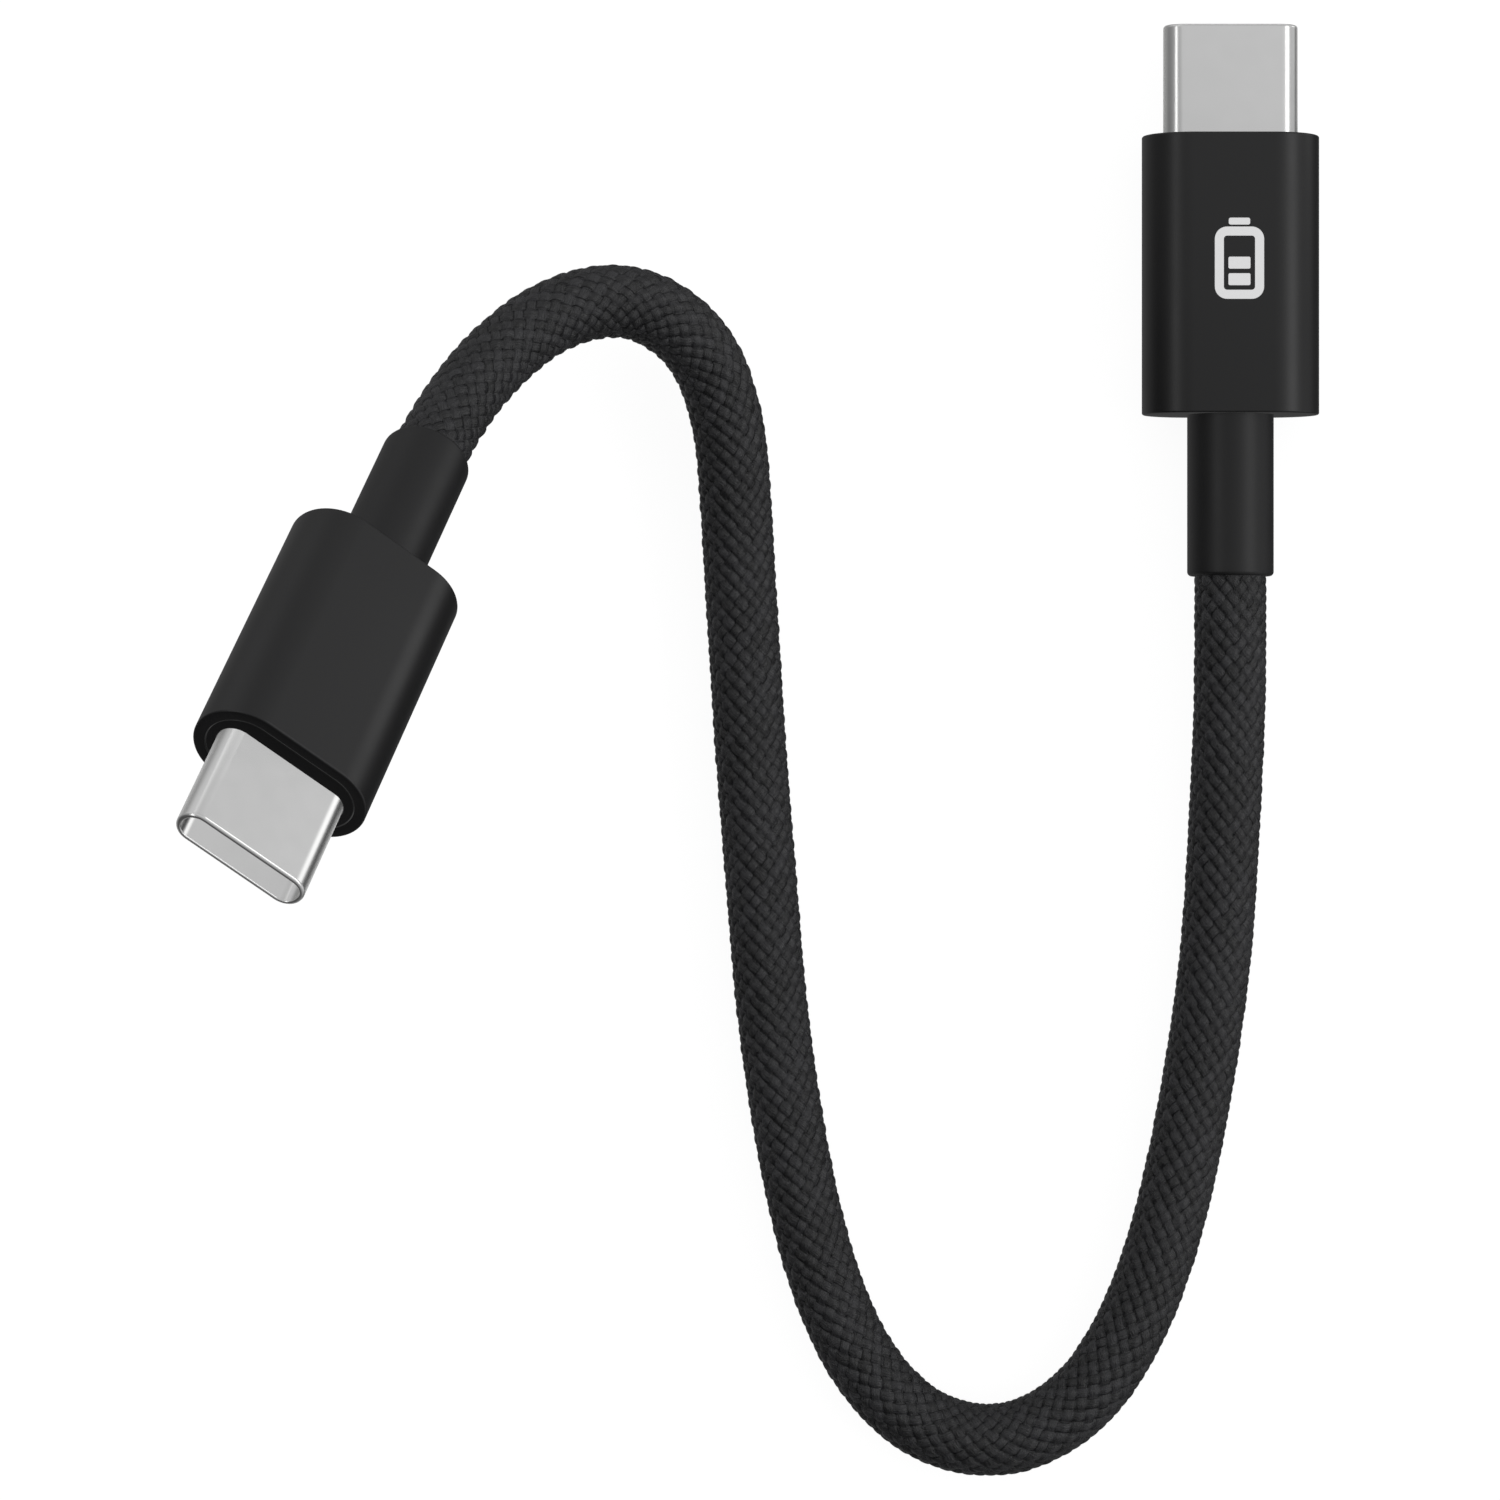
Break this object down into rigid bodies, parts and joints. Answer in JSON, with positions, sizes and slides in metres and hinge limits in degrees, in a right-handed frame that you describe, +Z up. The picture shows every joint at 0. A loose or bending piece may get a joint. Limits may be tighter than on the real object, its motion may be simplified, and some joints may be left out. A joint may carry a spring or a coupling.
{
  "type": "charging cable",
  "caption": "Short woven charging cable with a flat USB-C plug and a smooth strain relief at each end, laid in a loop with one plug raised.",
  "frame": {"origin": "middle of plug A's flat underside, on the surface that the cable lies on", "axes": "+Y along plug A towards its metal tip, +X across plug A's width, +Z up"},
  "size_m": [0.0663, 0.0893, 0.0425],
  "materials": {
    "moulded_black": "satin",
    "elastomer_black": "satin",
    "nickel_shell": "satin nickel plate",
    "contact_block": "natural, matte",
    "contact_plating": "gold plated",
    "spring_steel": "satin",
    "circuit_board": "solder mask",
    "chip_package": "matte",
    "tinned_sheet": "tinned",
    "wire_red": "smooth",
    "wire_black": "smooth",
    "wire_blue": "smooth",
    "wire_green": "smooth",
    "wire_white": "smooth",
    "inner_jacket": "matte",
    "woven_yarn": "woven"
  },
  "bodies": {
    "cord": {"cord_sleeve": "woven_yarn", "cord_core": "inner_jacket"},
    "plug_a": {"plug_a_housing": "moulded_black", "plug_a_front_plate": "moulded_black", "plug_a_strain_relief": "elastomer_black", "plug_a_shell": "nickel_shell", "plug_a_insulator": "contact_block", "plug_a_contact_row_top": "contact_plating", "plug_a_contact_row_bottom": "contact_plating", "plug_a_latch_plate": "spring_steel", "plug_a_emi_spring_top": "spring_steel", "plug_a_emi_spring_bottom": "spring_steel", "plug_a_circuit_card": "circuit_board", "plug_a_cable_id_chip": "chip_package", "plug_a_shield_upper": "tinned_sheet", "plug_a_shield_lower": "tinned_sheet", "plug_a_wire_vbus": "wire_red", "plug_a_wire_ground": "wire_black", "plug_a_wire_cc": "wire_blue", "plug_a_wire_data_plus": "wire_green", "plug_a_wire_data_minus": "wire_white", "plug_a_crimp_ferrule": "tinned_sheet", "plug_a_jacket_end": "inner_jacket"},
    "plug_b": {"plug_b_housing": "moulded_black", "plug_b_front_plate": "moulded_black", "plug_b_strain_relief": "elastomer_black", "plug_b_shell": "nickel_shell", "plug_b_insulator": "contact_block", "plug_b_contact_row_top": "contact_plating", "plug_b_contact_row_bottom": "contact_plating", "plug_b_latch_plate": "spring_steel", "plug_b_emi_spring_top": "spring_steel", "plug_b_emi_spring_bottom": "spring_steel", "plug_b_circuit_card": "circuit_board", "plug_b_shield_upper": "tinned_sheet", "plug_b_shield_lower": "tinned_sheet", "plug_b_wire_vbus": "wire_red", "plug_b_wire_ground": "wire_black", "plug_b_wire_cc": "wire_blue", "plug_b_wire_data_plus": "wire_green", "plug_b_wire_data_minus": "wire_white", "plug_b_crimp_ferrule": "tinned_sheet", "plug_b_jacket_end": "inner_jacket"}
  },
  "joints": [
    {"name": "plug_a_flex", "type": "hinge", "parent": "cord", "child": "plug_a", "pos_m": [0, -0.0135, 0.003], "axis": [0, 0, 1], "range_deg": [-20, 20], "stiffness_Nm_per_rad": 0.04, "deforming": ["plug_a_strain_relief"]},
    {"name": "plug_b_flex", "type": "hinge", "parent": "cord", "child": "plug_b", "pos_m": [-0.04983, -0.01541, 0.02129], "axis": [-0.7882, 0.5592, 0.257], "range_deg": [-20, 20], "stiffness_Nm_per_rad": 0.04, "deforming": ["plug_b_strain_relief"]}
  ]
}
